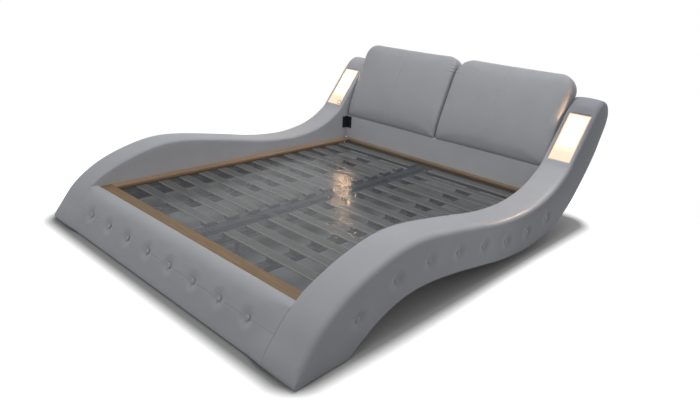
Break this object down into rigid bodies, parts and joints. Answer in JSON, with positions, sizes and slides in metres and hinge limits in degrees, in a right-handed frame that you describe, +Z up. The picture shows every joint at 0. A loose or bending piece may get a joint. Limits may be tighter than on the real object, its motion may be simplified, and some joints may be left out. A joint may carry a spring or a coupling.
{
  "type": "leather bed",
  "caption": "Low leather bed with S-shaped side rails that rise into lamp columns, two leaning head cushions, a tufted foot and a lift-out slatted base.",
  "frame": {"origin": "on the floor at the middle of the bed", "axes": "+X to the right seen from the foot end, +Y towards the headboard, +Z up"},
  "size_m": [2.21, 2.63, 0.9392],
  "materials": {
    "leather": "satin",
    "plywood": "matte",
    "slat_wood": "satin",
    "black_steel": "satin",
    "zinc_steel": "satin",
    "black_plastic": "matte",
    "opal_plastic": "satin",
    "circuit_board": "satin",
    "black_cloth": "matte",
    "clear_film": "gloss"
  },
  "bodies": {
    "bed_frame": {"centre_beam": "zinc_steel", "foot_panel_carcass": "plywood", "foot_panel_cover": "leather", "front_ledge": "plywood", "head_panel_cover": "leather", "headboard_carcass": "plywood", "lamp_switch_body": "zinc_steel", "left_corner_bracket": "black_steel", "left_cushion": "leather", "left_lamp_diffuser": "opal_plastic", "left_lamp_housing": "black_plastic", "left_lamp_led_board": "circuit_board", "left_ledge": "plywood", "left_rail_carcass": "plywood", "left_rail_cover": "leather", "left_rail_dust_cloth": "black_cloth", "left_rail_front_glide": "black_plastic", "left_rail_rear_foot": "black_plastic", "rear_ledge": "plywood", "right_corner_bracket": "black_steel", "right_cushion": "leather", "right_lamp_diffuser": "opal_plastic", "right_lamp_housing": "black_plastic", "right_lamp_led_board": "circuit_board", "right_ledge": "plywood", "right_rail_carcass": "plywood", "right_rail_cover": "leather", "right_rail_dust_cloth": "black_cloth", "right_rail_front_glide": "black_plastic", "right_rail_rear_foot": "black_plastic"},
    "slatted_base": {"clear_film": "clear_film", "left_slat_01": "slat_wood", "left_slat_02": "slat_wood", "left_slat_03": "slat_wood", "left_slat_04": "slat_wood", "left_slat_05": "slat_wood", "left_slat_06": "slat_wood", "left_slat_07": "slat_wood", "left_slat_08": "slat_wood", "left_slat_09": "slat_wood", "left_slat_10": "slat_wood", "left_slat_11": "slat_wood", "left_slat_12": "slat_wood", "left_slat_13": "slat_wood", "left_slat_frame": "black_steel", "right_slat_01": "slat_wood", "right_slat_02": "slat_wood", "right_slat_03": "slat_wood", "right_slat_04": "slat_wood", "right_slat_05": "slat_wood", "right_slat_06": "slat_wood", "right_slat_07": "slat_wood", "right_slat_08": "slat_wood", "right_slat_09": "slat_wood", "right_slat_10": "slat_wood", "right_slat_11": "slat_wood", "right_slat_12": "slat_wood", "right_slat_13": "slat_wood", "right_slat_frame": "black_steel"},
    "lamp_switch_button": {"lamp_switch_button": "black_plastic"}
  },
  "joints": [
    {"name": "slatted_base_lift", "type": "slide", "parent": "bed_frame", "child": "slatted_base", "axis": [0, 0, 1], "range_m": [0, 0.35]},
    {"name": "lamp_switch_press", "type": "slide", "parent": "bed_frame", "child": "lamp_switch_button", "axis": [0, 0.7829, -0.6222], "range_m": [0, 0.0025], "stiffness_N_per_m": 400}
  ]
}
